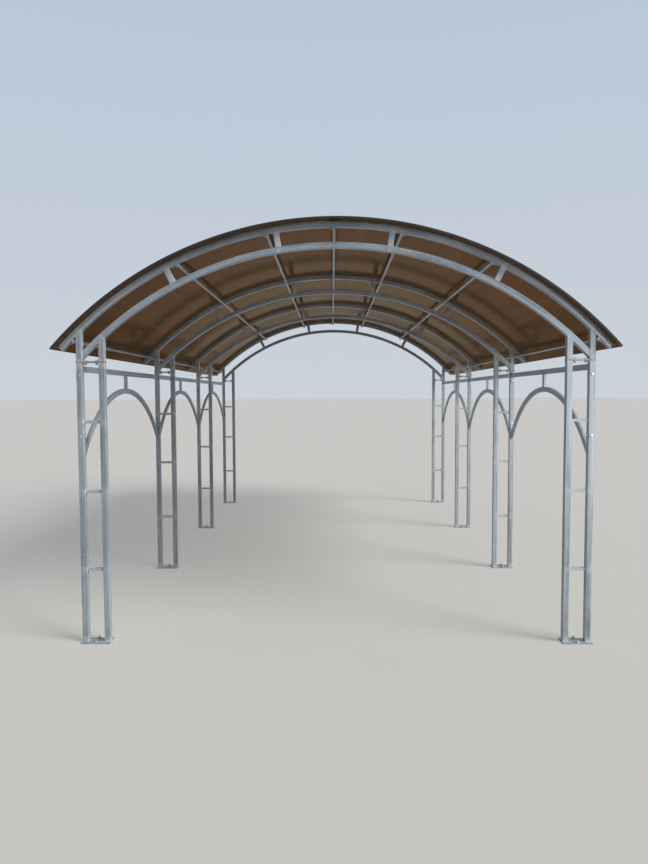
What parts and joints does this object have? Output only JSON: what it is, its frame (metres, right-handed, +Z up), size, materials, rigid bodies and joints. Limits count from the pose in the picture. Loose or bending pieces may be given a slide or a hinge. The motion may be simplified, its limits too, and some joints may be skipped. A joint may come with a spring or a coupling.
{
  "type": "carport",
  "caption": "Arched open carport with ladder columns, truss arches, side arches and a curved bronze twin-wall sheet roof.",
  "frame": {"origin": "centre of the plan, on the floor under the base plates", "axes": "+X to the right seen from the entrance, +Y along the roof from the entrance to the rear, +Z up"},
  "size_m": [3.7326, 6.0034, 2.8243],
  "materials": {
    "galvanised_steel": "galvanised, satin with faint spangle",
    "bronze_sheet": "bronze tinted, glossy twin-wall",
    "bronze_profile": "dark bronze profile"
  },
  "bodies": {
    "root": {"column_plates_1": "galvanised_steel", "outer_posts_1": "galvanised_steel", "inner_posts_1": "galvanised_steel", "rungs_1": "galvanised_steel", "truss_legs_1": "galvanised_steel", "outer_arch_1": "galvanised_steel", "inner_arch_1": "galvanised_steel", "arch_struts_1": "galvanised_steel", "column_plates_2": "galvanised_steel", "outer_posts_2": "galvanised_steel", "inner_posts_2": "galvanised_steel", "rungs_2": "galvanised_steel", "truss_legs_2": "galvanised_steel", "outer_arch_2": "galvanised_steel", "inner_arch_2": "galvanised_steel", "arch_struts_2": "galvanised_steel", "column_plates_3": "galvanised_steel", "outer_posts_3": "galvanised_steel", "inner_posts_3": "galvanised_steel", "rungs_3": "galvanised_steel", "truss_legs_3": "galvanised_steel", "outer_arch_3": "galvanised_steel", "inner_arch_3": "galvanised_steel", "arch_struts_3": "galvanised_steel", "column_plates_4": "galvanised_steel", "outer_posts_4": "galvanised_steel", "inner_posts_4": "galvanised_steel", "rungs_4": "galvanised_steel", "truss_legs_4": "galvanised_steel", "outer_arch_4": "galvanised_steel", "inner_arch_4": "galvanised_steel", "arch_struts_4": "galvanised_steel", "left_side_arches": "galvanised_steel", "right_side_arches": "galvanised_steel", "left_side_rails": "galvanised_steel", "right_side_rails": "galvanised_steel", "ridge_purlin": "galvanised_steel", "upper_purlins": "galvanised_steel", "lower_purlins": "galvanised_steel", "eaves_purlins": "galvanised_steel", "left_roof_sheet": "bronze_sheet", "right_roof_sheet": "bronze_sheet", "edge_strips": "bronze_profile", "ridge_strip": "bronze_profile"}
  },
  "joints": []
}
